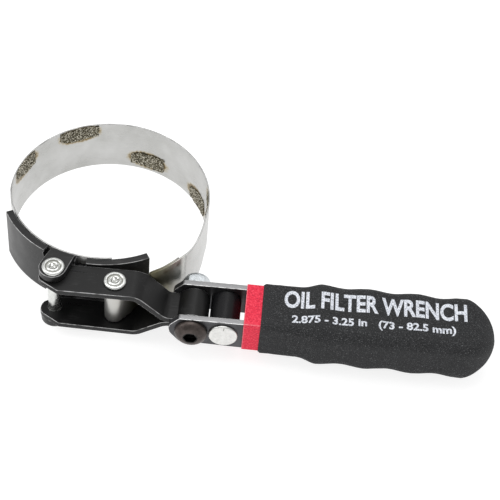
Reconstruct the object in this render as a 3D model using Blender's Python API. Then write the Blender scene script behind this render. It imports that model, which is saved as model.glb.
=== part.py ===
"""Band-type oil filter wrench with a swivelling handle.

Work frame, in millimetres: the shoe's pivot is near the origin, +X runs along
the handle to its end, +Y runs across the loop, +Z is the loop's own axis.
Everything is moved by SHIFT at the end, so that the origin is under the
middle of the tool, at its lowest point.
"""

import math

import bmesh
import bpy
from mathutils import Matrix, Vector

MM = 0.001
SHIFT = (-76.45, -36.96, 17.45)

# Band: 0.6 mm stainless strip, 24.8 mm wide
BAND_T = 0.6
BAND_HALF = 12.4
LOOP_C = (16.3, 46.75)
LOOP_R = 41.2
MOUTH = (50.6, 17.6)
SHOE_C = (14.0, 51.0)
SHOE_BAND_R = 39.8
BAND_SPLIT_GAP = 0.3
TAIL_LAP = BAND_T + 0.08

# Grit patches inside the band: first and last angle, then the lower and upper edge at even angles between
PATCHES = (
    (149.5, 171.0, (5.0, 4.3, 4.6, 6.4, 8.3), (11.9, 12.1, 12.1, 12.1, 12.0)),
    (104.5, 129.5, (6.2, 5.4, 4.9, 5.2, 6.8), (11.6, 12.0, 12.1, 12.1, 12.0)),
    (62.5, 85.0, (-10.2, -10.6, -10.4, -9.8, -9.4), (-2.6, -2.2, -2.6, -3.4, -4.4)),
    (19.0, 40.0, (-11.0, -11.6, -11.9, -11.8, -11.0), (-2.9, -2.6, -3.4, -4.6, -6.2)),
    (-7.0, 11.5, (6.0, 5.2, 5.0, 5.4, 6.5), (11.6, 12.0, 12.1, 12.0, 11.4)),
)

# Shoe: 3 mm sheet, curved to the band, with an ear bent out at each edge
SHOE_RI, SHOE_RO = 40.4, 43.4
SHOE_A0, SHOE_A1 = 207.4, 301.4
EAR_MID_Z = -0.45
EAR_LOW, EAR_HIGH = 12.60, 15.70
EAR_C, EAR_R = (-0.6, 2.0), 5.5
# relief notches beside each ear, as spans of angle; the lower edge has only the left one
NOTCHES = ((242.6, 247.0), (261.1, 267.0))
NOTCH_CUT_Z, NOTCH_END_Z, NOTCH_END_R = 9.9, 10.0, 2.2

# Pivots of the lever, and the gap round a pin in its hole
PIN_FIT = 0.1
PIN1 = (-0.3, 1.5)
PIN2 = (24.4, 0.0)
PIN_R = 2.6
TAIL_LOOP_C, TAIL_LOOP_R = (24.15, 0.0), 3.6
HEAD_R = 4.5

# Yoke: one strap bent into a hairpin round the handle's pivot
YOKE_T = 2.4
YOKE_HALF_W = 6.9
EYE_RI = 3.95
BEND_SKEW = 1.2
HANDLE_AXIS = (56.2, 0.0, -1.5)

# Fork arms
ARM_IN, ARM_OUT = 7.7, 10.2
ARM_HALF_H, ARM_GRIP_HALF_H = 7.1, 7.5
ARM_X1 = 96.0

# Screw, nut, roller
SHOULDER_R, SCREW_R = 3.75, 3.2
SCREW_HEAD_R = 6.6
SCREW_END = 15.3
SOCKET_AF = 4.9
NUT_AF = 11.3
ROLLER_X = 12.86
ROLLER_R = 6.1
ROLLER_PIN_R = 2.9

# Handle: the arms run on through a moulded collar and core, and the foam goes over all of it
COLLAR_X0, COLLAR_X1 = 20.65, 33.7
CORE_X0, CORE_X1 = 34.0, 106.0
CORE_HALF_W, CORE_HALF_H = 10.75, 8.4
GRIP_X0, GRIP_X1 = 27.3, 121.9
DOME = 13.0
FIT = 0.15


def clear_scene():
    for obj in list(bpy.data.objects):
        bpy.data.objects.remove(obj, do_unlink=True)
    for mesh in list(bpy.data.meshes):
        bpy.data.meshes.remove(mesh)


def material(name, colour, rough, metal):
    mat = bpy.data.materials.new(name)
    mat.use_nodes = True
    shader = mat.node_tree.nodes["Principled BSDF"]
    shader.inputs["Base Color"].default_value = (*colour, 1.0)
    shader.inputs["Roughness"].default_value = rough
    shader.inputs["Metallic"].default_value = metal
    mat.diffuse_color = (*colour, 1.0)
    mat.roughness = rough
    mat.metallic = metal
    return mat


def mesh_object(name, bm, mat=None):
    bmesh.ops.recalc_face_normals(bm, faces=bm.faces)
    mesh = bpy.data.meshes.new(name)
    bm.to_mesh(mesh)
    bm.free()
    mesh.shade_smooth()
    mesh.set_sharp_from_angle(angle=math.radians(32))
    obj = bpy.data.objects.new(name, mesh)
    bpy.context.scene.collection.objects.link(obj)
    if mat:
        mesh.materials.append(mat)
    return obj


def prism(name, outline, low, high, mat=None, axis="z"):
    """A closed outline extruded. axis z: (x, y) swept in z; axis y: (x, z) swept in y."""
    bm = bmesh.new()
    if axis == "z":
        verts = [bm.verts.new((x * MM, y * MM, low * MM)) for x, y in outline]
        travel = Vector((0, 0, (high - low) * MM))
    else:
        verts = [bm.verts.new((x * MM, low * MM, z * MM)) for x, z in outline]
        travel = Vector((0, (high - low) * MM, 0))
    face = bm.faces.new(verts)
    moved = bmesh.ops.extrude_face_region(bm, geom=[face])["geom"]
    bmesh.ops.translate(bm, verts=[v for v in moved if isinstance(v, bmesh.types.BMVert)], vec=travel)
    return mesh_object(name, bm, mat)


def lathe(name, profile, mat=None, axis="z", centre=(0, 0, 0), steps=40):
    """profile: (radius, height) pairs spun round the axis; it closes on the axis or on its own first point."""
    bm = bmesh.new()
    verts = [bm.verts.new((r * MM, 0, h * MM)) for r, h in profile]
    closed = profile[0] == profile[-1]
    if closed:
        bm.verts.remove(verts.pop())
    edges = [bm.edges.new(pair) for pair in zip(verts, verts[1:])]
    if closed:
        edges.append(bm.edges.new((verts[-1], verts[0])))
    bmesh.ops.spin(
        bm, geom=verts + edges, cent=(0, 0, 0), axis=(0, 0, 1), angle=2 * math.pi, steps=steps, use_merge=True
    )
    bmesh.ops.remove_doubles(bm, verts=bm.verts, dist=1e-7)
    if axis == "y":
        bmesh.ops.rotate(bm, verts=bm.verts, cent=(0, 0, 0), matrix=Matrix.Rotation(math.radians(-90), 3, "X"))
    bmesh.ops.translate(bm, verts=bm.verts, vec=Vector(centre) * MM)
    return mesh_object(name, bm, mat)


def loft(name, rings, mat=None):
    """A skin over rings of (x, y, z) points of even count, capped at both ends."""
    bm = bmesh.new()
    loops = [[bm.verts.new((x * MM, y * MM, z * MM)) for x, y, z in ring] for ring in rings]
    bm.faces.new(loops[0])
    bm.faces.new(loops[-1])
    n = len(loops[0])
    for near, far in zip(loops, loops[1:]):
        for i in range(n):
            bm.faces.new((near[i - 1], near[i], far[i], far[i - 1]))
    return mesh_object(name, bm, mat)


def rod(radius, low, high):
    """A plain cylinder's profile for lathe()."""
    return [(0, low), (radius, low), (radius, high), (0, high)]


def tube(name, ri, ro, h0, h1, mat=None, axis="z", centre=(0, 0, 0), steps=40, chamfer=0.3):
    c = chamfer
    ring = [(ri, h0), (ro - c, h0), (ro, h0 + c), (ro, h1 - c), (ro - c, h1), (ri, h1), (ri, h0)]
    return lathe(name, ring, mat, axis, centre, steps)


def boolean(target, tool, operation):
    mod = target.modifiers.new(operation.lower(), "BOOLEAN")
    mod.operation = operation
    mod.solver = "EXACT"
    mod.object = tool
    tool.hide_render = True
    tool.display_type = "WIRE"
    return mod


def apply_all(obj):
    """Bakes the modifiers, so that the cutters can go."""
    graph = bpy.context.evaluated_depsgraph_get()
    mesh = bpy.data.meshes.new_from_object(obj.evaluated_get(graph))
    tools = [m.object for m in obj.modifiers if m.type == "BOOLEAN"]
    obj.modifiers.clear()
    obj.data = mesh
    for tool in tools:
        bpy.data.objects.remove(tool, do_unlink=True)


def arc(centre, radius, a0, a1, n):
    return [
        (
            centre[0] + radius * math.cos(math.radians(a0 + (a1 - a0) * i / n)),
            centre[1] + radius * math.sin(math.radians(a0 + (a1 - a0) * i / n)),
        )
        for i in range(n + 1)
    ]


def fillet(points, radii, n=6):
    """The open polyline with its inner corners rounded."""
    out = [points[0]]
    for i in range(1, len(points) - 1):
        p, a, b = Vector(points[i]), Vector(points[i - 1]), Vector(points[i + 1])
        u, v = (a - p).normalized(), (b - p).normalized()
        turn = math.pi - u.angle(v)
        if turn < 1e-4 or radii[i] <= 0:
            out.append(points[i])
            continue
        reach = radii[i] * math.tan(turn / 2)
        centre = p + (u + v).normalized() * (radii[i] / math.cos(turn / 2))
        start, end = p + u * reach, p + v * reach
        a0 = math.atan2(start.y - centre.y, start.x - centre.x)
        a1 = math.atan2(end.y - centre.y, end.x - centre.x)
        while a1 - a0 > math.pi:
            a1 -= 2 * math.pi
        while a1 - a0 < -math.pi:
            a1 += 2 * math.pi
        for k in range(n + 1):
            a = a0 + (a1 - a0) * k / n
            out.append((centre.x + radii[i] * math.cos(a), centre.y + radii[i] * math.sin(a)))
    out.append(points[-1])
    return out


def strip(path, thickness):
    """The outline of a strip of even thickness along a path."""
    left, right = [], []
    for i, p in enumerate(path):
        a = Vector(path[max(i - 1, 0)])
        b = Vector(path[min(i + 1, len(path) - 1)])
        if 0 < i < len(path) - 1:
            u = (Vector(p) - a).normalized()
            v = (b - Vector(p)).normalized()
            t = (u + v).normalized()
            stretch = 1 / max(t.dot(u), 0.5)
        else:
            t, stretch = (b - a).normalized(), 1.0
        n = Vector((-t.y, t.x)) * (thickness / 2 * stretch)
        left.append((p[0] + n.x, p[1] + n.y))
        right.append((p[0] - n.x, p[1] - n.y))
    return left + right[::-1]


def smooth(points, per=6):
    """A centripetal Catmull-Rom curve through the points."""
    pts = [Vector(p) for p in points]
    pts = [2 * pts[0] - pts[1], *pts, 2 * pts[-1] - pts[-2]]
    out = []
    for i in range(1, len(pts) - 2):
        p0, p1, p2, p3 = pts[i - 1 : i + 3]
        t0 = 0.0
        t1 = t0 + (p1 - p0).length ** 0.5
        t2 = t1 + (p2 - p1).length ** 0.5
        t3 = t2 + (p3 - p2).length ** 0.5
        for k in range(per):
            t = t1 + (t2 - t1) * k / per
            a1 = p0 * ((t1 - t) / (t1 - t0)) + p1 * ((t - t0) / (t1 - t0))
            a2 = p1 * ((t2 - t) / (t2 - t1)) + p2 * ((t - t1) / (t2 - t1))
            a3 = p2 * ((t3 - t) / (t3 - t2)) + p3 * ((t - t2) / (t3 - t2))
            b1 = a1 * ((t2 - t) / (t2 - t0)) + a2 * ((t - t0) / (t2 - t0))
            b2 = a2 * ((t3 - t) / (t3 - t1)) + a3 * ((t - t1) / (t3 - t1))
            c = b1 * ((t2 - t) / (t2 - t1)) + b2 * ((t - t1) / (t2 - t1))
            out.append((c.x, c.y))
    out.append((pts[-2].x, pts[-2].y))
    return out


def band_path():
    """The whole strip: from its end in the shoe, clockwise round the loop, to the fold at the band pivot."""
    under_shoe = arc(SHOE_C, SHOE_BAND_R, 281.0, 216.0, 20)
    left = smooth(
        [under_shoe[-1], (-20.4, 31.1), (-23.1, 36.6), arc(LOOP_C, LOOP_R, 184.0, 184.0, 1)[0]], 3
    )
    round_loop = arc(LOOP_C, LOOP_R, 184.0, -8.0, 54)
    right = smooth([round_loop[-1], (56.3, 33.2), (54.95, 26.7), (52.9, 20.9), MOUTH], 3)
    return under_shoe + left[1:] + round_loop[1:] + right[1:]


def tail_path():
    """From the loop's mouth to the pivot, round it as a teardrop, and back along itself to the spot welds."""
    route = [MOUTH, (47.8, 14.2), (45.7, 12.05), (43.3, 10.35), (40.65, 8.86), (38.5, 7.87), (34.0, 6.0)]
    head = smooth(route, 3)
    to_meet = Vector(head[-1]) - Vector(TAIL_LOOP_C)
    middle = math.degrees(math.atan2(to_meet.y, to_meet.x))
    spread = math.degrees(math.acos(TAIL_LOOP_R / to_meet.length))
    ring = arc(TAIL_LOOP_C, TAIL_LOOP_R, middle - spread, middle + spread - 360.0, 24)
    back = []
    for i in range(len(head) - 1, 1, -1):
        along = (Vector(head[i]) - Vector(head[i - 1])).normalized()
        back.append((head[i][0] + along.y * TAIL_LAP, head[i][1] - along.x * TAIL_LAP))
    return head + ring + back


def make_tail(mat):
    """Full width at the loop's mouth, and narrow enough further in to pass between the yoke's plates."""
    tail = prism("band_tail", strip(tail_path(), BAND_T), -BAND_HALF, BAND_HALF, mat)
    upper = [(60, 16), (47.2, 12.5), (44.6, 12.2), (42.6, 11.5), (38.6, 10.7), (37.5, 10.3), (37.2, 9.9)]
    upper += [(37.0, 5.4), (36.4, 5.2), (31.0, 8.3), (28.0, 8.75), (10, 8.75)]
    lower = [(x, -z) for x, z in upper[::-1]]
    boolean(tail, prism("tail_outline", upper + lower, -20, 40, axis="y"), "INTERSECT")
    apply_all(tail)
    return tail


def shortened(path, start=0.0, end=0.0):
    """The path with a length taken off either end."""
    pts = [Vector(p) for p in path]
    for cut, order in ((start, 1), (end, -1)):
        pts = pts[::order]
        while cut > 0:
            step = (pts[1] - pts[0]).length
            if step > cut:
                pts[0] = pts[0] + (pts[1] - pts[0]) * (cut / step)
                break
            cut -= step
            pts.pop(0)
        pts = pts[::order]
    return [(p.x, p.y) for p in pts]


def ring_sector(name, centre, ri, ro, a0, a1, z0, z1, steps, mat=None):
    inner = arc(centre, ri, a0, a1, steps)
    outer = arc(centre, ro, a0, a1, steps)
    return prism(name, inner + outer[::-1], z0, z1, mat)


def ear_blank(name, sign):
    """Sheet that rises from the shoe's edge and bends outwards, as a sector about the shoe's axis."""
    bend, low, high = 0.4, EAR_LOW, EAR_HIGH
    ri, ro = SHOE_RI + 0.07, SHOE_RO - 0.07
    t = ro - ri
    profile = [(ri, 7.0), (ro, 7.0), (ro, low - bend)]
    for k in range(1, 4):
        a = math.pi - k * (math.pi / 2) / 3
        profile.append((ro + bend + bend * math.cos(a), low - bend + bend * math.sin(a)))
    profile += [(58.0, low), (58.0, high)]
    for k in range(0, 7):
        a = math.pi / 2 + k * (math.pi / 2) / 6
        profile.append((ro + bend + (bend + t) * math.cos(a), low - bend + (bend + high - low) * math.sin(a)))
    rings = []
    for i in range(19):
        a = math.radians(236.0 + 2.0 * i)
        x, y = math.cos(a), math.sin(a)
        rings.append([(SHOE_C[0] + r * x, SHOE_C[1] + r * y, sign * z + EAR_MID_Z) for r, z in profile])
    return loft(name, rings)


def hull_2d(points):
    pts = sorted(set(points))

    def half(items):
        out = []
        for p in items:
            while len(out) > 1 and (
                (out[-1][0] - out[-2][0]) * (p[1] - out[-2][1])
                - (out[-1][1] - out[-2][1]) * (p[0] - out[-2][0])
            ) <= 0:
                out.pop()
            out.append(p)
        return out[:-1]

    return half(pts) + half(pts[::-1])


def make_shoe(mat):
    """The curved plate with its ears, relief notches and pivot hole."""
    shoe = ring_sector("shoe", SHOE_C, SHOE_RI, SHOE_RO, SHOE_A0, SHOE_A1, -BAND_HALF, BAND_HALF, 46, mat)
    for sign, notches in ((1, NOTCHES), (-1, NOTCHES[:1])):
        for a0, a1 in notches:
            am = (a0 + a1) / 2
            z0, z1 = sorted((sign * NOTCH_CUT_Z, sign * 14.0))
            notch = ring_sector("notch", SHOE_C, SHOE_RI - 2, SHOE_RO + 2, a0, a1, z0, z1, 3)
            boolean(shoe, notch, "DIFFERENCE")
            end = lathe("notch_end", rod(NOTCH_END_R, -3.6, 3.6), steps=16)
            end.rotation_euler = (math.radians(90), 0, math.radians(am + 90))
            r = (SHOE_RI + SHOE_RO) / 2
            end.location = (
                (SHOE_C[0] + r * math.cos(math.radians(am))) * MM,
                (SHOE_C[1] + r * math.sin(math.radians(am))) * MM,
                sign * NOTCH_END_Z * MM,
            )
            boolean(shoe, end, "DIFFERENCE")
    for sign in (1, -1):
        ear = ear_blank("ear", sign)
        a_left, a_right = math.radians(NOTCHES[0][1]), math.radians(NOTCHES[1][0])
        base = [
            (SHOE_C[0] + (SHOE_RI - 0.5) * math.cos(a), SHOE_C[1] + (SHOE_RI - 0.5) * math.sin(a))
            for a in (a_left, a_right)
        ]
        outline = hull_2d(arc(EAR_C, EAR_R, 0, 350, 35) + base)
        z0, z1 = sorted((sign * 8.0, sign * 20.0))
        boolean(ear, prism("ear_outline", outline, z0, z1), "INTERSECT")
        apply_all(ear)
        boolean(shoe, ear, "UNION")
    hole = lathe("shoe_hole", rod(PIN_R + PIN_FIT, -30, 30), centre=(*PIN1, 0), steps=28)
    boolean(shoe, hole, "DIFFERENCE")
    apply_all(shoe)
    return shoe


def make_yoke(mat):
    """The strap, drawn from the side, bent round the handle's pivot, and trimmed to its plan shape."""
    ax, az = HANDLE_AXIS[0], HANDLE_AXIS[2]
    half = YOKE_T / 2
    r = EYE_RI + half
    layer = half + 0.05
    dip = math.degrees(math.asin((layer + 1.6) / (r + 1.6)))
    neck = ax - (r + 1.6) * math.cos(math.radians(dip))
    top = [(-7.5, 11.35 - half), (33.6, 12.1 - half), (45.0, az + layer), (neck, az + layer)]
    low = [(-7.5, -11.45 + half), (33.6, -12.0 + half), (45.0, az - layer), (neck, az - layer)]
    upper = fillet(top, [0, 6.0, 6.0, 0], 6)
    lower = fillet(low, [0, 6.0, 6.0, 0], 6)
    # the small reverse bend where a leg leaves the tongue for the eye
    turn_up = arc((neck, az + layer + 1.6), 1.6, -90.0, -90.0 + (90.0 - dip), 3)
    turn_down = arc((neck, az - layer - 1.6), 1.6, 90.0 - (90.0 - dip), 90.0, 3)
    eye = arc((ax, az), r, 180.0 - dip, -180.0 + dip, 34)
    path = upper[:-1] + turn_up + eye[1:-1] + turn_down + lower[::-1][1:]
    yoke = prism("yoke_strap", strip(path, YOKE_T), -YOKE_HALF_W, YOKE_HALF_W, mat, axis="y")
    ends = [
        (70.0, -9.0), (70.0, 9.0), (12.0, 9.0), (12.0, 6.9), (2.6, 6.9), (-3.6, 4.5), (-4.9, 3.6),
        (-5.7, 2.2), (-6.0, 0.6), (-5.9, -0.8), (-5.4, -1.9), (-4.5, -2.8), (2.4, -6.9), (12.0, -6.9),
        (12.0, -9.0),
    ]
    boolean(yoke, prism("yoke_plan", ends, -30, 30), "INTERSECT")
    for vertex in yoke.data.vertices:
        if vertex.co.y > 0 and vertex.co.z > HANDLE_AXIS[2] * MM:
            x = vertex.co.x / MM
            vertex.co.x += BEND_SKEW * MM * ease(x, 32.5, 35.5) * (1 - ease(x, 42.0, 47.0))
    for x, y in (PIN1, PIN2):
        hole = lathe("yoke_hole", rod(PIN_R + PIN_FIT, -30, 30), centre=(x, y, 0), steps=28)
        boolean(yoke, hole, "DIFFERENCE")
    apply_all(yoke)
    return yoke


def rivet(name, centre, low, high, mat, head=1.3):
    """low and high are the outer faces that the heads clamp."""
    h = HEAD_R
    dimple = head - 0.35
    profile = [
        (0, low - dimple), (1.5, low - dimple), (1.9, low - head), (h - 0.7, low - head),
        (h, low - head * 0.45), (h, low - PIN_FIT), (PIN_R, low - PIN_FIT), (PIN_R, high + PIN_FIT),
        (h, high + PIN_FIT),
        (h, high + head * 0.45), (h - 0.7, high + head), (1.9, high + head), (1.5, high + dimple),
        (0, high + dimple),
    ]
    return lathe(name, profile, mat, centre=(*centre, 0), steps=32)


def arm_outline():
    h, tall = ARM_HALF_H, ARM_GRIP_HALF_H
    tip = [(-5.0, h), (-8.6, 2.9), (-9.15, 0.4), (-8.6, -2.2), (-4.8, -h)]
    corners = [(ARM_X1, tall), (COLLAR_X0, tall), *tip, (COLLAR_X0, -tall), (ARM_X1, -tall)]
    return fillet(corners, [0, 0, 1.2, 3.0, 4.0, 3.0, 1.2, 0, 0], 4)


def make_arm(name, y0, y1, mat):
    arm = prism(name, arm_outline(), y0, y1, mat, axis="y")
    for x, r in ((0.0, SHOULDER_R + PIN_FIT), (ROLLER_X, ROLLER_PIN_R + PIN_FIT)):
        hole = lathe("arm_hole", rod(r, y0 - 2, y1 + 2), axis="y", centre=(x, 0, 0), steps=28)
        boolean(arm, hole, "DIFFERENCE")
    apply_all(arm)
    return arm


def hexagon(across_flats):
    r = across_flats / math.sqrt(3)
    return [(r * math.cos(math.radians(60 * k)), r * math.sin(math.radians(60 * k))) for k in range(6)]


def make_screw(mat):
    f = -ARM_OUT - 0.1
    r = SCREW_HEAD_R
    profile = [
        (0, f - 3.5), (3.3, f - 3.5), (4.3, f - 3.3), (5.3, f - 2.75), (6.15, f - 1.9), (r, f - 1.1),
        (r, f - 0.5), (r, f), (SHOULDER_R, f), (SHOULDER_R, ARM_OUT - 0.3), (SCREW_R, ARM_OUT),
        (SCREW_R, SCREW_END - 0.5),
        (SCREW_R - 0.5, SCREW_END), (0, SCREW_END),
    ]
    screw = lathe("pivot_screw", profile, mat, axis="y", steps=40)
    boolean(screw, prism("socket", hexagon(SOCKET_AF), f - 5.0, f - 1.1, axis="y"), "DIFFERENCE")
    apply_all(screw)
    return screw


def make_nut(mat):
    y0, y1 = ARM_OUT + 0.1, ARM_OUT + 4.8
    nut = prism("lock_nut", hexagon(NUT_AF), y0, y1, mat, axis="y")
    r = NUT_AF / math.sqrt(3)
    rounding = [
        (0, y0 - 1), (r - 0.3, y0 - 1), (r - 0.1, y0 + 0.2), (r + 0.2, y0 + 0.9), (r + 0.2, y1 - 1.1),
        (r - 1.1, y1 + 0.1), (0, y1 + 0.1),
    ]
    boolean(nut, lathe("nut_rounding", rounding, axis="y", steps=36), "INTERSECT")
    apply_all(nut)
    dome = [(0, y1 - 1.5), (5.35, y1 - 1.5), (5.35, y1 + 0.6), (5.0, y1 + 1.2), (4.4, y1 + 1.5), (0, y1 + 1.5)]
    boolean(nut, lathe("nut_dome", dome, axis="y", steps=36), "UNION")
    bore = SCREW_R + PIN_FIT
    boolean(nut, lathe("nut_bore", rod(bore, y0 - 2, y1 + 4), axis="y", steps=32), "DIFFERENCE")
    boolean(nut, lathe("nut_seat", rod(4.4, y1 - 0.6, y1 + 0.9), axis="y", steps=32), "DIFFERENCE")
    apply_all(nut)
    insert = tube("lock_nut_insert", bore, 4.3, y1 - 0.5, y1 + 0.8, axis="y", steps=32, chamfer=0.15)
    return nut, insert


def rounded_box(half_w, half_h, r, per_corner=6):
    """The outline of a rounded rectangle, as (y, z) points."""
    out = []
    for sy, sz, start in ((1, 1, 0), (-1, 1, 90), (-1, -1, 180), (1, -1, 270)):
        out += arc((sy * (half_w - r), sz * (half_h - r)), r, start, start + 90, per_corner)
    return out


def ease(x, start, end):
    t = min(max((x - start) / (end - start), 0.0), 1.0)
    return t * t * (3 - 2 * t)


def grip_size(x):
    """(half width, half height, corner radius) of the foam, at a place along the handle's axis."""
    neck, swell = ease(x, 28.0, 42.0), ease(x, 42.0, 51.0)
    wave = 0.32 * math.cos(2 * math.pi * (x - 70.0) / 19.2) * swell
    w = 11.55 + 0.6 * neck + 1.85 * swell + wave
    h = 9.1 + 0.3 * neck + 1.1 * swell + wave
    r = 1.8 + 1.2 * neck + 1.5 * swell
    into_dome = max(x - (GRIP_X1 - DOME), 0.0) / DOME
    k = math.sqrt(max(1 - into_dome**2, 0.0004))
    return w * k, h * k, (r + (h - 0.3 - r) * (1 - k)) * k


def make_grip(mat):
    """The foam sleeve, closed at its domed end and hollow for the core."""
    stations = [GRIP_X0, GRIP_X0 + 0.7] + [GRIP_X0 + 4 + 3.2 * k for k in range(24)]
    dome_angles = (12, 24, 36, 48, 59, 69, 78, 85, 90)
    stations += [GRIP_X1 - DOME * (1 - math.sin(math.radians(a))) for a in dome_angles]
    rings = []
    for x in stations:
        w, h, r = grip_size(x)
        if x == GRIP_X0:
            w, h = w - 0.25, h - 0.25
        rings.append([(x, y, z) for y, z in rounded_box(w, h, r)])
    grip = loft("foam_grip", rings, mat)
    box = rounded_box(CORE_HALF_W + FIT, CORE_HALF_H + FIT, 1.4, 2)
    cavity = loft("grip_cavity", [[(x, y, z) for y, z in box] for x in (GRIP_X0 - 5, CORE_X1 + FIT)])
    boolean(grip, cavity, "DIFFERENCE")
    apply_all(grip)
    return grip


def make_core(name, x0, x1, mat):
    """A moulded block with a slot for each arm."""
    box = rounded_box(CORE_HALF_W, CORE_HALF_H, 1.1, 2)
    core = loft(name, [[(x, y, z) for y, z in box] for x in (x0, x1)], mat)
    slot_end = min(ARM_X1 + FIT, x1 + 4)
    z = ARM_GRIP_HALF_H + 0.12
    for side in (1, -1):
        low, high = sorted((side * (ARM_IN - 0.12), side * (ARM_OUT + 0.12)))
        opening = [(x0 - 4, -z), (slot_end, -z), (slot_end, z), (x0 - 4, z)]
        slot = prism("core_slot", opening, low, high, axis="y")
        boolean(core, slot, "DIFFERENCE")
    apply_all(core)
    return core


def make_patch(name, a0, a1, lows, highs, mat):
    """A rough pad on the inside of the band. lows and highs are heights at even angles from a0 to a1."""
    ro, ri = LOOP_R - BAND_T / 2 - 0.08, LOOP_R - BAND_T / 2 - 0.55
    rings = []
    for i, (low, high) in enumerate(zip(lows, highs)):
        a = math.radians(a0 + (a1 - a0) * i / (len(lows) - 1))
        corners = ((ro, low), (ro, high), (ri, high - 0.3), (ri, low + 0.3))
        rings.append([(LOOP_C[0] + r * math.cos(a), LOOP_C[1] + r * math.sin(a), z) for r, z in corners])
    return loft(name, rings, mat)


def empty(name, at):
    obj = bpy.data.objects.new(name, None)
    bpy.context.scene.collection.objects.link(obj)
    obj.location = [v * MM for v in at]
    return obj


def main():
    clear_scene()
    steel = material("stainless_band", (0.62, 0.61, 0.58), 0.32, 1.0)
    grit = material("grit_coating", (0.20, 0.17, 0.11), 0.85, 0.2)
    oxide = material("black_oxide_steel", (0.035, 0.035, 0.037), 0.42, 0.6)
    zinc = material("zinc_plate", (0.80, 0.81, 0.80), 0.28, 1.0)
    screw_finish = material("black_oxide_screw", (0.09, 0.075, 0.068), 0.35, 0.9)
    arm_steel = material("arm_steel", (0.10, 0.10, 0.105), 0.38, 0.8)
    rubber = material("black_roller", (0.03, 0.03, 0.032), 0.6, 0.0)
    nylon = material("nylon_insert", (0.75, 0.78, 0.80), 0.5, 0.0)
    red = material("red_vinyl", (0.78, 0.028, 0.07), 0.5, 0.0)
    core_plastic = material("black_core", (0.03, 0.03, 0.032), 0.6, 0.0)
    foam = material("black_foam_grip", (0.025, 0.026, 0.028), 0.9, 0.0)

    shoe = make_shoe(oxide)
    path = shortened(band_path(), end=BAND_SPLIT_GAP)
    band = prism("band_loop", strip(path, BAND_T), -BAND_HALF, BAND_HALF, steel)
    tail = make_tail(steel)
    patches = [make_patch(f"grit_patch_{k}", *patch, grit) for k, patch in enumerate(PATCHES, 1)]
    pin1 = rivet("shoe_pivot_rivet", PIN1, -EAR_HIGH + EAR_MID_Z, EAR_HIGH + EAR_MID_Z, zinc)
    yoke = make_yoke(oxide)
    pin2 = rivet("band_pivot_rivet", PIN2, -12.35, 12.1, zinc)

    front = make_arm("fork_arm_front", -ARM_OUT, -ARM_IN, arm_steel)
    back = make_arm("fork_arm_back", ARM_IN, ARM_OUT, arm_steel)
    screw = make_screw(screw_finish)
    nut, insert = make_nut(zinc)
    insert.data.materials.append(nylon)
    roller_end = ARM_IN - FIT
    roller = tube(
        "spacer_roller", ROLLER_PIN_R + PIN_FIT, ROLLER_R, -roller_end, roller_end,
        rubber, "y", (ROLLER_X, 0, 0), 36, 0.4,
    )
    h = ARM_OUT + PIN_FIT
    spacer = lathe(
        "spacer_rivet",
        [
            (0, -h - 1.1), (5.3, -h - 1.1), (5.85, -h - 0.6), (5.85, -h), (ROLLER_PIN_R, -h),
            (ROLLER_PIN_R, h), (5.85, h), (5.85, h + 0.6), (5.3, h + 1.1), (0, h + 1.1),
        ],
        zinc, "y", (ROLLER_X, 0, 0), 40,
    )
    collar = make_core("grip_collar", COLLAR_X0, COLLAR_X1, red)
    core = make_core("handle_core", CORE_X0, CORE_X1, core_plastic)
    grip = make_grip(foam)

    base = empty("tool", SHIFT)
    lever = empty("lever_axis", (PIN1[0], PIN1[1], 0))
    handle = empty("handle_axis", HANDLE_AXIS)
    lever.parent = base
    handle.parent = lever
    handle.location = [(HANDLE_AXIS[0] - PIN1[0]) * MM, (HANDLE_AXIS[1] - PIN1[1]) * MM, HANDLE_AXIS[2] * MM]
    for obj in (shoe, band, pin1, *patches):
        obj.parent = base
    for obj in (yoke, pin2, tail):
        obj.parent = lever
        obj.location = (-PIN1[0] * MM, -PIN1[1] * MM, 0)
    for obj in (front, back, screw, nut, insert, roller, spacer, collar, core, grip):
        obj.parent = handle


main()
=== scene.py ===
"""Looks of the band-type oil filter wrench: pieces, materials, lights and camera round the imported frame.

Places are in the part's work frame, in millimetres: the shoe's pivot is near the origin, +X runs along the
handle, +Y across the loop and +Z is the loop's axis. SHIFT takes them to the frame, and MM to metres.
"""

import math

import bmesh
import bpy
from mathutils import Matrix, Vector, noise

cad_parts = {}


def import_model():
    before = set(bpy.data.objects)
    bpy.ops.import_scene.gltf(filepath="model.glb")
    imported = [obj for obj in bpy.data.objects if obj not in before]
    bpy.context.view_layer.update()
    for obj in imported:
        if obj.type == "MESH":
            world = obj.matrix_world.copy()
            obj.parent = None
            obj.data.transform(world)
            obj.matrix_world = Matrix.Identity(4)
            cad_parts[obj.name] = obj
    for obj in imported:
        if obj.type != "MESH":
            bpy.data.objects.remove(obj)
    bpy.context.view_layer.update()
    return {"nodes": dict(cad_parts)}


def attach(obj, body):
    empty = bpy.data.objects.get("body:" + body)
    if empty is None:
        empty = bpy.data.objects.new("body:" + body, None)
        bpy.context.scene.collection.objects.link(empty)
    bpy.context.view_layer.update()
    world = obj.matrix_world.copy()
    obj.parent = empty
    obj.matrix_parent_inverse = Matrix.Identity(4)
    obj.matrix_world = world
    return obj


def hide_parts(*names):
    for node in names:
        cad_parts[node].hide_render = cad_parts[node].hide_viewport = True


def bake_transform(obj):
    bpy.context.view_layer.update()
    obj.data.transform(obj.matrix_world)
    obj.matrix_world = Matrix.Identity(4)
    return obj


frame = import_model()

MM = 0.001
SHIFT = Vector((-76.45, -36.96, 17.45))

# Band and loop
BAND_T = 0.6
LOOP_C = (16.3, 46.75)
LOOP_R = 41.2
MOUTH = (50.6, 17.6)
TAIL_BEND = (47.8, 14.2)  # the strip's next point inward from the mouth
SPLIT_GAP = 0.3
SPLIT_LEFT = 0.02

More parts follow.
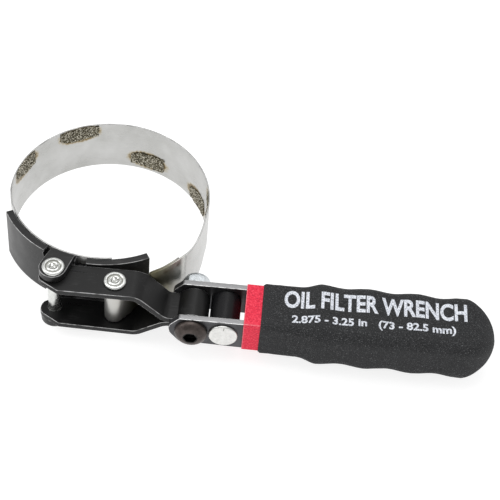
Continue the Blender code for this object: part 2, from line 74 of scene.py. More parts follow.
# Pivots
SHOE_PIN = (-0.3, 1.5)
SHOE_PIN_FACES = (-16.15, 15.25)
BAND_PIN = (24.4, 0.0)
BAND_PIN_FACES = (-12.35, 12.1)
PIN_R = 2.6
HEAD_R = 4.5
HEAD_H = 1.3
ROLLER_X = 12.86
ROLLER_PIN_R = 2.9
SPACER_HEAD_R = 5.85
ARM_OUT = 10.2
HANDLE_AXIS = Vector((56.2, 0.0, -1.5))
SCREW_SOCKET_Y = -12.4

# Grit crusts. A sheet stands CRUST_GAP off the band and is at least CRUST_LEAST thick.
CRUST_CORNER = 1.0
CRUST_GAP = 0.08
CRUST_LEAST = 0.08
CRUST_T = 0.45
CRUST_STEP_DEG, CRUST_STEP_Z = 0.34, 0.26

# Foam grip
GRIP_X0, GRIP_X1 = 27.3, 121.9
DOME = 13.0
CORE_X1 = 106.0
CORE_HALF_W, CORE_HALF_H = 10.75, 8.4
CORE_CORNER_R = 1.4
FIT = 0.15
WAVE_X, WAVE_PITCH, WAVE_HEIGHT = 70.0, 19.2, 0.32
LIP = 0.55
PRINT_SUNK = 0.16

# Studio, in metres
FLOOR_HALF = 1.6


# ---------------------------------------------------------------- materials


class Paint:
    """A Principled material and short ways to feed it. Lengths in the textures are in metres."""

    def __init__(self, name, colour, rough, metal=0.0, **sockets):
        self.mat = bpy.data.materials.new(name)
        self.mat.use_nodes = True
        self.tree = self.mat.node_tree
        self.shader = self.tree.nodes["Principled BSDF"]
        self.shader.inputs["Base Color"].default_value = (*colour, 1.0)
        self.shader.inputs["Roughness"].default_value = rough
        self.shader.inputs["Metallic"].default_value = metal
        for key, value in sockets.items():
            self.shader.inputs[key.replace("_", " ")].default_value = value
        self.coords = self.tree.nodes.new("ShaderNodeTexCoord").outputs["Object"]

    def link(self, output, target):
        self.tree.links.new(output, target)

    def noise(self, scale, detail=3.0, stretch=(1, 1, 1), roughness=0.55):
        """Noise of that many cells a millimetre."""
        mapping = self.tree.nodes.new("ShaderNodeMapping")
        mapping.inputs["Scale"].default_value = [s * scale / MM for s in stretch]
        self.link(self.coords, mapping.inputs["Vector"])
        tex = self.tree.nodes.new("ShaderNodeTexNoise")
        tex.inputs["Scale"].default_value = 1.0
        tex.inputs["Detail"].default_value = detail
        tex.inputs["Roughness"].default_value = roughness
        self.link(mapping.outputs["Vector"], tex.inputs["Vector"])
        return tex.outputs["Fac"]

    def cells(self, scale):
        """The distance to the nearest of that many cells a millimetre."""
        mapping = self.tree.nodes.new("ShaderNodeMapping")
        mapping.inputs["Scale"].default_value = [scale / MM] * 3
        self.link(self.coords, mapping.inputs["Vector"])
        tex = self.tree.nodes.new("ShaderNodeTexVoronoi")
        tex.inputs["Scale"].default_value = 1.0
        self.link(mapping.outputs["Vector"], tex.inputs["Vector"])
        return tex.outputs["Distance"]

    def ramp(self, fac, *stops):
        """stops: (place, grey or colour)."""
        node = self.tree.nodes.new("ShaderNodeValToRGB")
        elements = node.color_ramp.elements
        while len(elements) < len(stops):
            elements.new(0.5)
        for element, (place, value) in zip(elements, stops):
            element.position = place
            colour = (value,) * 3 if isinstance(value, float) else value
            element.color = (*colour, 1.0)
        self.link(fac, node.inputs["Fac"])
        return node.outputs["Color"]

    def spread(self, fac, low, high, from_low=0.3, from_high=0.7):
        """Maps a value's range from_low to from_high onto low to high."""
        node = self.tree.nodes.new("ShaderNodeMapRange")
        node.inputs["From Min"].default_value = from_low
        node.inputs["From Max"].default_value = from_high
        node.inputs["To Min"].default_value = low
        node.inputs["To Max"].default_value = high
        self.link(fac, node.inputs["Value"])
        return node.outputs["Result"]

    def mix(self, fac, a, b):
        node = self.tree.nodes.new("ShaderNodeMix")
        node.data_type = "RGBA"
        # sockets 6 and 7 are the node's two colours, and output 2 is their mix
        for value, socket in ((fac, node.inputs[0]), (a, node.inputs[6]), (b, node.inputs[7])):
            self.feed(value, socket)
        return node.outputs[2]

    def feed(self, value, socket):
        """Links another node's output, or sets a colour or a number."""
        if isinstance(value, bpy.types.NodeSocket):
            self.link(value, socket)
        elif isinstance(value, tuple):
            socket.default_value = (*value, 1.0)
        else:
            socket.default_value = value

    def math(self, operation, a, b=0.0):
        node = self.tree.nodes.new("ShaderNodeMath")
        node.operation = operation
        self.feed(a, node.inputs[0])
        self.feed(b, node.inputs[1])
        return node.outputs["Value"]

    def axis(self, name):
        split = self.tree.nodes.new("ShaderNodeSeparateXYZ")
        self.link(self.coords, split.inputs["Vector"])
        return split.outputs[name]

    def near(self, place, radius, tall=1.0):
        """1 at a place of the work frame, falling to 0 at that radius in millimetres.

        tall stretches the distance along Z: over 1 the spot is flatter, and at 0 it is an upright column.
        """
        offset = self.tree.nodes.new("ShaderNodeVectorMath")
        offset.operation = "SUBTRACT"
        offset.inputs[1].default_value = (Vector(place) + SHIFT) * MM
        self.link(self.coords, offset.inputs[0])
        scaled = self.tree.nodes.new("ShaderNodeVectorMath")
        scaled.operation = "MULTIPLY"
        scaled.inputs[1].default_value = (1.0, 1.0, tall)
        self.link(offset.outputs["Vector"], scaled.inputs[0])
        length = self.tree.nodes.new("ShaderNodeVectorMath")
        length.operation = "LENGTH"
        self.link(scaled.outputs["Vector"], length.inputs[0])
        return self.spread(length.outputs["Value"], 1.0, 0.0, 0.0, radius * MM)

    def colour(self, output):
        self.link(output, self.shader.inputs["Base Color"])

    def rough(self, output):
        self.link(output, self.shader.inputs["Roughness"])

    def bump(self, height, depth):
        """depth is the height in millimetres from 0 to 1."""
        node = self.tree.nodes.new("ShaderNodeBump")
        node.inputs["Strength"].default_value = 1.0
        node.inputs["Distance"].default_value = depth * MM
        self.link(height, node.inputs["Height"])
        previous = self.shader.inputs["Normal"].links
        if previous:
            self.link(previous[0].from_socket, node.inputs["Normal"])
        self.link(node.outputs["Normal"], self.shader.inputs["Normal"])


def steel_grain(paint, low, high, depth=0.004):
    """Rolling marks that run round the band, and the cloudy variation of a satin finish."""
    streaks = paint.noise(2.2, 3.0, (0.03, 0.03, 1.6))
    clouds = paint.noise(0.09, 2.0)
    marks = paint.math("ADD", streaks, paint.math("MULTIPLY", clouds, 0.5))
    paint.rough(paint.spread(marks, low, high, 0.5, 1.0))
    paint.bump(streaks, depth)
    return clouds


def make_band_steel():
    """Satin stainless steel, browned by heat round each bonded pad."""
    paint = Paint("satin_stainless", (0.6, 0.6, 0.59), 0.3, 1.0)
    clouds = steel_grain(paint, 0.24, 0.4)
    tone = paint.ramp(clouds, (0.3, (0.45, 0.45, 0.435)), (0.7, (0.56, 0.56, 0.55)))
    # heat tint left round each bonded pad, on the inner face only
    fine = paint.noise(0.8, 4.0)
    inner_face = paint.spread(paint.near((*LOOP_C, 0), LOOP_R, 0.0), 0.0, 1.0, 0.0, 0.004)
    for angle, z in ((160.0, 8.5), (117.0, 8.6), (73.5, -6.4), (29.5, -7.2), (2.5, 8.6)):
        place = (
            LOOP_C[0] + LOOP_R * math.cos(math.radians(angle)),
            LOOP_C[1] + LOOP_R * math.sin(math.radians(angle)),
            z,
        )
        halo = paint.math("ADD", paint.near(place, 13.0, 1.9), paint.math("MULTIPLY", fine, 0.3))
        halo = paint.math("MULTIPLY", halo, inner_face)
        tone = paint.mix(paint.spread(halo, 0.0, 0.8, 0.34, 0.46), tone, (0.42, 0.36, 0.24))
        tone = paint.mix(paint.spread(halo, 0.0, 0.85, 0.43, 0.5), tone, (0.18, 0.13, 0.06))
    paint.colour(tone)
    return paint.mat


def make_tail_steel():
    """The same strip, tinted olive-brown by heat towards the fold and darkened there also as a painted
    reflection of the black yoke, with two marks of the spot welds.
    """
    paint = Paint("heat_tint_and_painted_reflection_stainless", (0.5, 0.49, 0.46), 0.3, 1.0)
    steel_grain(paint, 0.36, 0.48)
    along = paint.axis("X")
    # the dark olive band is partly heat tint and partly a painted reflection of the black yoke
    tint = paint.ramp(
        paint.spread(along, 0.0, 1.0, (20.0 + SHIFT.x) * MM, (54.0 + SHIFT.x) * MM),
        (0.0, (0.56, 0.56, 0.54)),
        (0.22, (0.5, 0.49, 0.46)),
        (0.36, (0.11, 0.1, 0.06)),
        (0.6, (0.13, 0.12, 0.08)),
        (0.72, (0.24, 0.23, 0.18)),
        (0.82, (0.42, 0.41, 0.38)),
        (0.9, (0.52, 0.52, 0.5)),
        (1.0, (0.54, 0.54, 0.53)),
    )
    ragged = paint.noise(1.2, 4.0)
    for place in ((48.0, 14.6, 9.8), (43.6, 10.6, 9.4)):
        spot = paint.math("MULTIPLY", paint.near(place, 2.6), ragged)
        tint = paint.mix(paint.spread(spot, 0.0, 0.7, 0.12, 0.4), tint, (0.09, 0.07, 0.045))
    paint.colour(tint)
    return paint.mat


def make_rim_steel():
    """The sheared, nicked rims of the strip."""
    paint = Paint("sheared_stainless_rim", (0.5, 0.5, 0.49), 0.35, 1.0)
    nicks = paint.noise(1.5, 3.0)
    paint.colour(paint.ramp(nicks, (0.35, 0.3), (0.7, 0.62)))
    return paint.mat


def make_grit():
    """Coarse rubble of dark and pale grains in a brown bond."""
    paint = Paint("bonded_grit", (0.2, 0.17, 0.11), 0.7, 0.35)
    grains = paint.cells(1.25)
    fine = paint.noise(1.7, 4.0)
    tone = paint.ramp(
        fine,
        (0.38, (0.018, 0.014, 0.008)),
        (0.46, (0.085, 0.07, 0.036)),
        (0.54, (0.22, 0.2, 0.13)),
        (0.6, (0.72, 0.68, 0.58)),
    )
    paint.colour(paint.mix(paint.ramp(grains, (0.08, 0.9), (0.3, 0.0)), tone, (0.03, 0.026, 0.018)))
    paint.rough(paint.spread(fine, 0.85, 0.4))
    paint.bump(fine, 0.25)
    return paint.mat


def make_black_oxide(name, level, low, high, scuff, gloss):
    """Black finish on steel: satin, with fine scratches and rubbed patches."""
    paint = Paint(name, (level,) * 3, low, 0.0, Specular_IOR_Level=gloss)
    clouds = paint.noise(0.16, 4.0)
    scratch = paint.noise(1.3, 3.0, (0.12, 1.6, 1.0))
    rubbed = paint.ramp(paint.math("MULTIPLY", clouds, scratch), (0.3, 0.0), (0.42, 1.0))
    dark = (level, level, level * 1.02)
    bright = tuple(v + scuff for v in dark)
    paint.colour(paint.mix(rubbed, dark, bright))
    paint.rough(paint.spread(clouds, low, high))
    paint.bump(scratch, 0.006)
    paint.bump(paint.noise(3.0, 2.0), 0.006)
    return paint.mat


def make_worn_edge_with_highlight(name, colour):
    """Bare metal where the finish has rubbed off an edge, painted pale along the edge also as a painted
    highlight.
    """
    paint = Paint(name, (colour,) * 3, 0.38, 0.85)
    wear = paint.noise(0.35, 5.0)
    paint.colour(paint.ramp(wear, (0.36, colour * 0.3), (0.55, colour)))
    return paint.mat


def make_zinc(name, colour=(0.72, 0.73, 0.71), low=0.16, high=0.34):
    """Cloudy zinc plate."""
    paint = Paint(name, colour, low, 1.0)
    clouds = paint.noise(0.6, 4.0)
    paint.colour(paint.ramp(clouds, (0.3, tuple(c * 0.82 for c in colour)), (0.62, colour)))
    paint.rough(paint.spread(clouds, low, high))
    paint.bump(paint.noise(1.2, 2.0), 0.002)
    return paint.mat


def make_collar_edge_highlight():
    """The collar's corners, painted paler than its faces as a painted highlight."""
    paint = Paint("crimson_edge_highlight", (0.86, 0.1, 0.14), 0.5, 0.0)
    paint.colour(paint.ramp(paint.noise(1.6, 3.0), (0.35, (0.8, 0.04, 0.08)), (0.62, (0.92, 0.22, 0.26))))
    return paint.mat


def make_arm_steel():
    """Dark brushed flat faces; the sheared faces that look up and down are painted paler, a painted
    reflection of the sky.
    """
    paint = Paint("dark_arm_steel", (0.12, 0.12, 0.125), 0.36, 0.75)
    brushed = paint.noise(1.8, 3.0, (0.06, 1.0, 1.4))
    clouds = paint.noise(0.14, 3.0)
    split = paint.tree.nodes.new("ShaderNodeSeparateXYZ")
    paint.link(paint.coords.node.outputs["Normal"], split.inputs["Vector"])
    # painted reflection: faces whose normal points up and down are painted paler
    sheared = paint.spread(paint.math("ABSOLUTE", split.outputs["Z"]), 0.0, 1.0, 0.7, 0.9)
    flat_face = paint.ramp(clouds, (0.3, (0.05, 0.05, 0.053)), (0.7, (0.09, 0.09, 0.095)))
    paint.colour(paint.mix(sheared, flat_face, (0.27, 0.27, 0.275)))
    paint.rough(paint.spread(brushed, 0.28, 0.46))
    paint.bump(brushed, 0.008)
    return paint.mat


def make_screw_finish():
    """Brown-black oxide, with the socket painted black as painted shade."""
    paint = Paint("brown_oxide_screw", (0.13, 0.105, 0.095), 0.34, 0.7)
    clouds = paint.noise(0.5, 4.0)
    tone = paint.ramp(clouds, (0.3, (0.035, 0.028, 0.025)), (0.68, (0.085, 0.068, 0.062)))
    # painted shade: the inside of the hex socket is painted near black
    socket = paint.near(HANDLE_AXIS + Vector((0, SCREW_SOCKET_Y, 0)), 4.0)
    paint.colour(paint.mix(paint.spread(socket, 0.0, 1.0, 0.14, 0.2), tone, (0.004, 0.004, 0.004)))
    paint.rough(paint.spread(clouds, 0.26, 0.44))
    paint.bump(paint.noise(2.5, 3.0), 0.012)
    return paint.mat


def make_crimson():
    """Crimson vinyl with a coarse pebbled skin."""
    paint = Paint("crimson_vinyl", (0.8, 0.02, 0.06), 0.55, 0.0, Specular_IOR_Level=0.25)
    pebble = paint.noise(1.3, 4.0, roughness=0.65)
    tone = paint.ramp(
        pebble,
        (0.34, (0.56, 0.014, 0.045)),
        (0.5, (0.8, 0.024, 0.062)),
        (0.66, (0.9, 0.085, 0.13)),
    )
    paint.colour(tone)
    paint.rough(paint.spread(pebble, 0.45, 0.7))
    paint.bump(pebble, 0.22)
    return paint.mat


def make_moulded(name, colour, rough, grain, depth, gloss=0.3):
    """Moulded plastic or vinyl with a fine pebbled skin."""
    paint = Paint(name, colour, rough, 0.0, Specular_IOR_Level=gloss)
    pebble = paint.noise(grain, 3.0)
    tone = paint.noise(0.12, 3.0)
    paint.colour(paint.ramp(tone, (0.3, tuple(c * 0.86 for c in colour)), (0.7, colour)))
    paint.rough(paint.spread(pebble, rough - 0.08, min(rough + 0.12, 1.0)))
    paint.bump(pebble, depth)
    return paint.mat


def make_foam():
    """Black foam with pale pores and specks."""
    paint = Paint("dense_black_foam", (0.012, 0.012, 0.013), 0.8, 0.0, Specular_IOR_Level=0.35)
    pores = paint.noise(2.4, 4.0, roughness=0.7)
    specks = paint.cells(1.1)
    clouds = paint.noise(0.06, 3.0)
    base = paint.ramp(
        pores,
        (0.4, (0.003, 0.003, 0.0035)),
        (0.6, (0.034, 0.035, 0.037)),
        (0.7, (0.24, 0.245, 0.25)),
    )
    tone = paint.mix(paint.ramp(specks, (0.08, 0.7), (0.2, 0.0)), base, (0.17, 0.175, 0.18))
    paint.colour(paint.mix(paint.spread(clouds, 0.0, 0.3), tone, (0.03, 0.031, 0.033)))
    paint.rough(paint.spread(pores, 0.66, 0.95))
    paint.bump(pores, 0.22)
    return paint.mat


def make_ink():
    """White print, thin over the pores."""
    paint = Paint("white_print", (0.7, 0.73, 0.8), 0.6, 0.0)
    gaps = paint.noise(1.9, 4.0, roughness=0.7)
    tone = paint.ramp(
        gaps,
        (0.36, (0.22, 0.23, 0.26)),
        (0.5, (0.66, 0.69, 0.76)),
        (0.62, (0.86, 0.88, 0.92)),
    )
    paint.colour(tone)
    paint.bump(gaps, 0.05)
    return paint.mat


def make_floor():
    """A slightly luminous matt floor, so that it stays white under the tool."""
    paint = Paint("pale_floor", (0.35, 0.35, 0.35), 0.9, 0.0, Emission_Strength=0.8)
    paint.shader.inputs["Emission Color"].default_value = (1.0, 1.0, 1.0, 1.0)
    paint.bump(paint.noise(0.5, 3.0), 0.01)
    return paint.mat


# ---------------------------------------------------------------- shapes


def world(x, y, z):
    """A place of the work frame, in the frame's metres."""
    return (Vector((x, y, z)) + SHIFT) * MM


def to_frame(bm, offset):
    """Takes a mesh built in millimetres about a place of the work frame to the frame's metres."""
    bmesh.ops.translate(bm, verts=bm.verts, vec=offset + SHIFT)
    bmesh.ops.scale(bm, verts=bm.verts, vec=(MM, MM, MM))


def arc(centre, radius, a0, a1, n):
    """n + 1 points of a circle from a0 to a1 degrees."""
    out = []
    for i in range(n + 1):
        a = math.radians(a0 + (a1 - a0) * i / n)
        out.append((centre[0] + radius * math.cos(a), centre[1] + radius * math.sin(a)))
    return out


def ease(x, start, end):
    """0 up to start, 1 from end, and smooth between."""
    t = min(max((x - start) / (end - start), 0.0), 1.0)
    return t * t * (3 - 2 * t)


def finish_mesh(name, bm, mats, body, replaced, sharp=35.0):
    """Links a new piece, which rides on its body and stands for the CAD nodes named."""
    bmesh.ops.recalc_face_normals(bm, faces=bm.faces)
    mesh = bpy.data.meshes.new(name)
    bm.to_mesh(mesh)
    bm.free()
    mesh.shade_smooth()
    mesh.set_sharp_from_angle(angle=math.radians(sharp))
    obj = bpy.data.objects.new(name, mesh)
    bpy.context.scene.collection.objects.link(obj)
    for mat in mats:
        mesh.materials.append(mat)
    if replaced:
        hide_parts(*replaced)
    if body:
        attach(obj, body)
    return obj


def finish_node(name, mat, edge=None, bevel=0.25, angle=32.0):
    """A CAD node that stays: its finish, and a small bevel that shows the worn edge; on the black parts and
    the collar that edge also carries a painted highlight.
    """
    obj = frame["nodes"][name]
    obj.material_slots[0].material = mat
    weld = obj.modifiers.new("weld", "WELD")
    weld.merge_threshold = 0.002 * MM
    rim = obj.modifiers.new("edge", "BEVEL")
    rim.limit_method = "ANGLE"
    rim.angle_limit = math.radians(angle)
    rim.width = bevel * MM
    rim.segments = 2
    rim.use_clamp_overlap = False
    if edge:
        obj.data.materials.append(edge)
        rim.material = 1
    flat = obj.modifiers.new("flat_faces", "WEIGHTED_NORMAL")
    flat.mode = "FACE_AREA"
    flat.weight = 50


def spun(name, profile, centre, steps, mats, body, replaced, darker_where, axis="z"):
    """A turned piece. profile: (radius, height, lobe), lobe being how far three lobes rise and fall round it.

    soiled(radius, angle) says where it has its second finish, a darker zinc.
    """
    bm = bmesh.new()
    rings = []
    for radius, height, lobe in profile:
        if radius == 0:
            rings.append([bm.verts.new((0, 0, height))])
            continue
        ring = []
        for k in range(steps):
            a = 2 * math.pi * k / steps
            z = height + lobe * math.cos(3 * a)
            ring.append(bm.verts.new((radius * math.cos(a), radius * math.sin(a), z)))
        rings.append(ring)
    for near, far in zip(rings, rings[1:]):
        for k in range(steps):
            j = (k + 1) % steps
            corners = [near[k % len(near)], near[j % len(near)], far[j % len(far)], far[k % len(far)]]
            face = bm.faces.new(list(dict.fromkeys(corners)))
            middle = face.calc_center_median()
            angle = math.degrees(math.atan2(middle.y, middle.x))
            if darker_where(math.hypot(middle.x, middle.y), angle):
                face.material_index = 1
    if axis == "y":
        bmesh.ops.rotate(bm, verts=bm.verts, cent=(0, 0, 0), matrix=Matrix.Rotation(math.radians(90), 3, "X"))
    to_frame(bm, Vector(centre))
    finish_mesh(name, bm, mats, body, replaced)


def rivet_head(face, way):
    """From the shank over the head to its centre: an outer ring, a groove, and a three-lobed middle."""
    shape = [
        (PIN_R, 0, 0), (HEAD_R - 0.1, 0, 0), (HEAD_R, 0.12, 0), (HEAD_R, 0.7, 0), (HEAD_R - 0.12, 1.0, 0),
        (HEAD_R - 0.4, 1.22, 0), (HEAD_R - 0.75, HEAD_H, 0), (HEAD_R - 1.15, 1.26, 0),
        (HEAD_R - 1.4, 1.02, 0), (HEAD_R - 1.6, 0.86, 0), (HEAD_R - 1.85, 0.86, 0),
        (HEAD_R - 2.05, 1.02, 0), (HEAD_R - 2.3, 1.16, 0),
        (2.0, 1.2, 0.01), (1.85, 1.18, 0.03), (1.7, 1.12, 0.06), (1.55, 1.03, 0.09), (1.4, 0.94, 0.12),
        (1.25, 0.86, 0.14), (1.1, 0.78, 0.16), (0.9, 0.72, 0.16), (0.7, 0.68, 0.12), (0.5, 0.68, 0.08),
        (0.3, 0.72, 0.04), (0, 0.78, 0),
    ]
    return [(r, face + way * h, way * lobe) for r, h, lobe in shape]


def in_groove(radius, angle):
    """The ring groove of a rivet head, and the hollows between the lobes of its middle."""
    turn = math.cos(math.radians(3 * angle))
    lobed = 1.45 + 0.3 * turn
    in_ring = 2.65 < radius < 3.0
    on_lobe_edge = abs(radius - lobed) < 0.2
    between_lobes = radius < 0.75 and turn < -0.2
    return in_ring or on_lobe_edge or between_lobes


def in_nick(radius, angle):
    """A small nick in the spacer's head, from near the rim towards the middle."""
    return 3.3 < radius < 5.3 and abs(angle - 86.0) < 2.5


def make_rivet(name, node, centre, faces, mats, body):
    """A riveted pin. faces: the heights of the two faces that its heads sit on."""
    low_head = rivet_head(faces[0], -1)[::-1]
    high_head = rivet_head(faces[1], 1)
    spun(name, low_head + high_head, (*centre, 0), 96, mats, body, [node], in_groove)


def make_spacer(mats):
    """The pin through the roller, with a wide flat head at each end."""
    face = ARM_OUT + 0.1
    head = [
        (ROLLER_PIN_R, 0, 0), (SPACER_HEAD_R - 0.1, 0, 0), (SPACER_HEAD_R, 0.1, 0), (SPACER_HEAD_R, 0.55, 0),
        (SPACER_HEAD_R - 0.15, 0.86, 0), (SPACER_HEAD_R - 0.5, 1.08, 0), (SPACER_HEAD_R - 0.8, 1.1, 0),
        (SPACER_HEAD_R - 1.1, 1.02, 0), (3.6, 0.98, 0), (2.2, 0.98, 0), (1.9, 0.9, 0), (1.0, 0.88, 0.02),
        (0, 0.9, 0),
    ]
    low = [(r, -face - h, -lobe) for r, h, lobe in head][::-1]
    high = [(r, face + h, lobe) for r, h, lobe in head]
    centre = HANDLE_AXIS + Vector((ROLLER_X, 0, 0))
    spun("spacer_pin", low + high, centre, 80, mats, "handle", ["spacer_rivet"], in_nick, axis="y")


def make_crust(name, node, a0, a1, lows, highs, seed, mat):
    """A ragged crust of grit on the inside of the band, whose thickness varies like rubble.

    a0 and a1 are its ends round the loop in degrees. lows and highs are the heights of its two long edges at
    evenly spaced places between them.
    """
    outer_r = LOOP_R - BAND_T / 2 - CRUST_GAP
    bm = bmesh.new()
    grid = {}

    def span(a):
        t = min(max((a - a0) / (a1 - a0), 0.0), 1.0) * (len(lows) - 1)
        i = min(int(t), len(lows) - 2)
        low = lows[i] + (lows[i + 1] - lows[i]) * (t - i)
        high = highs[i] + (highs[i + 1] - highs[i]) * (t - i)
        return low, high

    def place(i, k):
        a = a0 + i * CRUST_STEP_DEG
        z = min(lows) + k * CRUST_STEP_Z
        wobble = noise.noise(Vector((a * 0.9, z * 1.3, seed))) * 0.16
        return a + wobble, z + wobble

    def vert(i, k):
        if (i, k) not in grid:
            a, z = place(i, k)
            a = math.radians(min(max(a, a0), a1))
            x, y = LOOP_C[0] + outer_r * math.cos(a), LOOP_C[1] + outer_r * math.sin(a)
            grid[i, k] = bm.verts.new((x, y, z))
        return grid[i, k]

    for i in range(int((a1 - a0) / CRUST_STEP_DEG)):
        for k in range(int((max(highs) - min(lows)) / CRUST_STEP_Z)):
            a, z = place(i + 0.5, k + 0.5)
            low, high = span(a)
            ragged = noise.noise(Vector((a * 0.5, z * 0.5, seed + 5))) * 0.7
            # how far the point lies inside the patch, whose corners are round
            end = min(a - a0, a1 - a) * math.radians(LOOP_R) - ragged
            side = min(z - low, high + 0.2 - z) - ragged
            corner = math.hypot(max(CRUST_CORNER - end, 0.0), max(CRUST_CORNER - side, 0.0))
            if corner < CRUST_CORNER:
                bm.faces.new((vert(i, k), vert(i + 1, k), vert(i + 1, k + 1), vert(i, k + 1)))
    moved = bmesh.ops.extrude_face_region(bm, geom=bm.faces[:], use_keep_orig=True)["geom"]
    for vertex in (v for v in moved if isinstance(v, bmesh.types.BMVert)):
        rubble = noise.noise(vertex.co * 1.1 + Vector((seed, 0, 0))) * 0.5 + 0.5
        rubble += noise.noise(vertex.co * 2.6) * 0.35
        inward = Vector((LOOP_C[0] - vertex.co.x, LOOP_C[1] - vertex.co.y, 0)).normalized()
        vertex.co += inward * (CRUST_LEAST + CRUST_T * min(max(rubble, 0.0), 0.85))
    to_frame(bm, Vector((0, 0, 0)))
    finish_mesh(name, bm, [mat], "loop", [node], 60.0)


def grip_size(x):
    """(half width, half height, corner radius) of the foam, at a place along the handle's axis."""
    neck, swell = ease(x, 28.0, 42.0), ease(x, 42.0, 51.0)
    wave = WAVE_HEIGHT * math.cos(2 * math.pi * (x - WAVE_X) / WAVE_PITCH) * swell
    w = 11.55 + 0.6 * neck + 1.85 * swell + wave
    h = 9.1 + 0.3 * neck + 1.1 * swell + wave
    r = 1.8 + 1.2 * neck + 1.5 * swell
    into_dome = max(x - (GRIP_X1 - DOME), 0.0) / DOME
    k = math.sqrt(max(1 - into_dome**2, 0.0004))
    return w * k, h * k, (r + (h - 0.3 - r) * (1 - k)) * k


def rounded_ring(half_w, half_h, r, flat, corner):
    """A rounded rectangle as (y, z) points, with that many points on each straight side and corner."""
    out = []
    corners = ((1, 1, 0), (-1, 1, 90), (-1, -1, 180), (1, -1, 270))
    for q, (sy, sz, start) in enumerate(corners):
        out += arc((sy * (half_w - r), sz * (half_h - r)), r, start, start + 90, corner)
        ny, nz, begin = corners[(q + 1) % 4]
        nxt = arc((ny * (half_w - r), nz * (half_h - r)), r, begin, begin + 90, corner)[0]
        last = out[-1]
        for i in range(1, flat):
            t = i / flat
            out.append((last[0] + (nxt[0] - last[0]) * t, last[1] + (nxt[1] - last[1]) * t))
    return out


def make_grip(mat):
    """The foam: soft dents all over, a rolled mouth round the collar, and a domed end."""
    flat, corner = 14, 7
    stations = [GRIP_X0 + 0.02, GRIP_X0 + 0.3, GRIP_X0 + 0.9]
    stations += [GRIP_X0 + 1.6 + 0.75 * k for k in range(103)]
    stations += [GRIP_X1 - DOME * (1 - math.sin(math.radians(a))) for a in range(3, 90, 4)]
    stations = sorted(x for x in stations if x < GRIP_X1)
    rings = []
    for x in stations:
        w, h, r = grip_size(x)
        lip = LIP * (1 - ease(x, GRIP_X0, GRIP_X0 + 0.9))
        ring = []
        for y, z in rounded_ring(w - lip, h - lip, max(r - lip, 0.2), flat, corner):
            at = Vector((x, y, z))
            dents = noise.noise(at * 0.09) * 0.5 + noise.noise(at * 0.3) * 0.3 + noise.noise(at * 1.1) * 0.2
            sink = (0.07 + 0.18 * dents) * ease(x, GRIP_X0 + 1, GRIP_X0 + 5)
            scale = 1 - max(sink, 0.0) / math.hypot(y, z)
            ring.append((x, y * scale, z * scale))
        rings.append(ring)
    inner = []
    for x in (CORE_X1 + FIT, GRIP_X0 + 0.5, GRIP_X0 + 0.02):
        box = rounded_ring(CORE_HALF_W + FIT, CORE_HALF_H + FIT, CORE_CORNER_R, flat, corner)
        inner.append([(x, y, z) for y, z in box])
    bm = bmesh.new()
    loops = [[bm.verts.new(p) for p in ring] for ring in inner + rings]
    count = len(loops[0])
    for near, far in zip(loops, loops[1:]):
        for i in range(count):
            bm.faces.new((near[i - 1], near[i], far[i], far[i - 1]))
    bm.faces.new(loops[0])
    tip = bm.verts.new((GRIP_X1, 0, 0))
    for i in range(count):
        bm.faces.new((loops[-1][i - 1], loops[-1][i], tip))
    to_frame(bm, HANDLE_AXIS)
    grip = finish_mesh("foam_grip_skin", bm, [mat], "handle", ["foam_grip"], 60.0)


def print_line(name, words, height, start, end, mat):
    """A line of print on top of the foam. start and end are the (x, y) ends of its base, from the pivot."""
    curve = bpy.data.curves.new(name, "FONT")
    curve.body = words
    curve.size = 1.0
    curve.resolution_u = 4
    curve.offset = 0.03
    source = bpy.data.objects.new(name + "_source", curve)
    bpy.context.scene.collection.objects.link(source)
    bpy.context.view_layer.update()
    mesh = bpy.data.meshes.new_from_object(source.evaluated_get(bpy.context.evaluated_depsgraph_get()))
    bpy.data.objects.remove(source)
    bm = bmesh.new()
    bm.from_mesh(mesh)
    bpy.data.meshes.remove(mesh)
    bmesh.ops.remove_doubles(bm, verts=bm.verts, dist=1e-5)
    low = min(v.co.x for v in bm.verts)
    high = max(v.co.x for v in bm.verts)
    top = max(v.co.y for v in bm.verts)
    base, run = Vector(start), Vector(end) - Vector(start)
    up = Vector((-run.y, run.x)).normalized()
    for v in bm.verts:
        flat = base + run * ((v.co.x - low) / (high - low)) + up * (v.co.y / top * height)
        v.co = (flat.x, flat.y, 0)
    long = [e for e in bm.edges if e.calc_length() > 1.6]
    bmesh.ops.subdivide_edges(bm, edges=long, cuts=2)
    bmesh.ops.triangulate(bm, faces=bm.faces[:])
    moved = bmesh.ops.extrude_face_region(bm, geom=bm.faces[:], use_keep_orig=True)["geom"]
    raised = {v for v in moved if isinstance(v, bmesh.types.BMVert)}
    for v in bm.verts:
        v.co.z = grip_size(v.co.x)[1] - (0.0 if v in raised else PRINT_SUNK)
    to_frame(bm, HANDLE_AXIS)
    finish_mesh(name, bm, [mat], "handle", [], 40.0)


def make_tail(mat, rim_mat):
    """The strip's own piece between the loop and the band pivot."""
    bm = bmesh.new()
    bm.from_mesh(frame["nodes"]["band_tail"].data)
    bmesh.ops.remove_doubles(bm, verts=bm.verts, dist=0.001 * MM)
    # its end face meets the loop's, so that the strip shows no gap
    along = Vector((MOUTH[0] - TAIL_BEND[0], MOUTH[1] - TAIL_BEND[1], 0)).normalized()
    for v in bm.verts:
        if (v.co - world(*MOUTH, 0)).dot(along) > -0.01 * MM:
            v.co += along * (SPLIT_GAP - SPLIT_LEFT) * MM
    mouth = (MOUTH[0] + SHIFT.x - 1.0) * MM
    folds = [e for e in bm.edges if len(e.link_faces) == 2 and e.calc_face_angle() > math.radians(50)]
    edges = [e for e in folds if min(v.co.x for v in e.verts) < mouth]
    bmesh.ops.bevel(
        bm, geom=edges, offset=0.1 * MM, segments=1, affect="EDGES", material=1, clamp_overlap=True
    )
    tail = finish_mesh("band_tail_strip", bm, [mat, rim_mat], None, ["band_tail"], 40.0)
    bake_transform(tail)


# ---------------------------------------------------------------- the object

